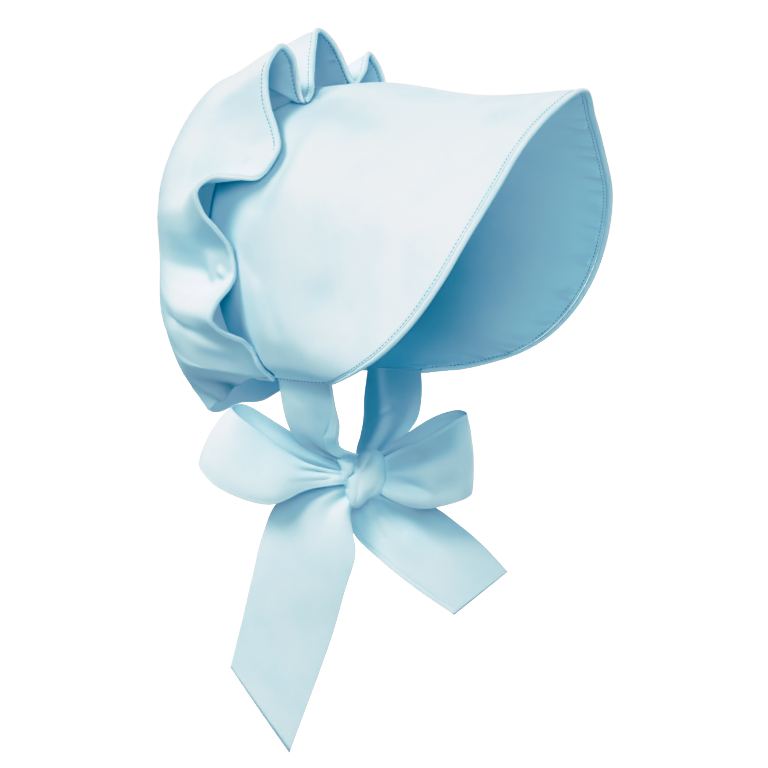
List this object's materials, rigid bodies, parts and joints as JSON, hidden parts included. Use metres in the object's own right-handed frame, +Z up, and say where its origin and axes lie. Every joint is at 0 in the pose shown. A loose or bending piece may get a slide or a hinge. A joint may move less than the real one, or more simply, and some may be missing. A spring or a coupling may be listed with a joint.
{
  "type": "bonnet",
  "caption": "Cloth bonnet with a deep flared brim, a gathered crown with a standing ruffled edge, and wide ribbon ties knotted in a bow below the chin.",
  "frame": {"origin": "where the top of the head meets the inside of the bonnet, at the rear of the brim", "axes": "+Z up as worn, -Y towards the wearer's front, +X towards the wearer's left"},
  "size_m": [0.2616, 0.3536, 0.5517],
  "materials": {
    "panel": "smooth satin weave",
    "crown": "smooth satin weave",
    "binding": "smooth satin weave",
    "ribbon": "smooth satin weave"
  },
  "bodies": {
    "root": {"brim": "panel", "brim_binding": "binding", "crown": "crown", "tie_right": "ribbon", "tie_left": "ribbon", "bow_knot": "ribbon", "bow_loop_right": "ribbon", "bow_loop_left": "ribbon", "tail_right": "ribbon", "tail_left": "ribbon"}
  },
  "joints": []
}
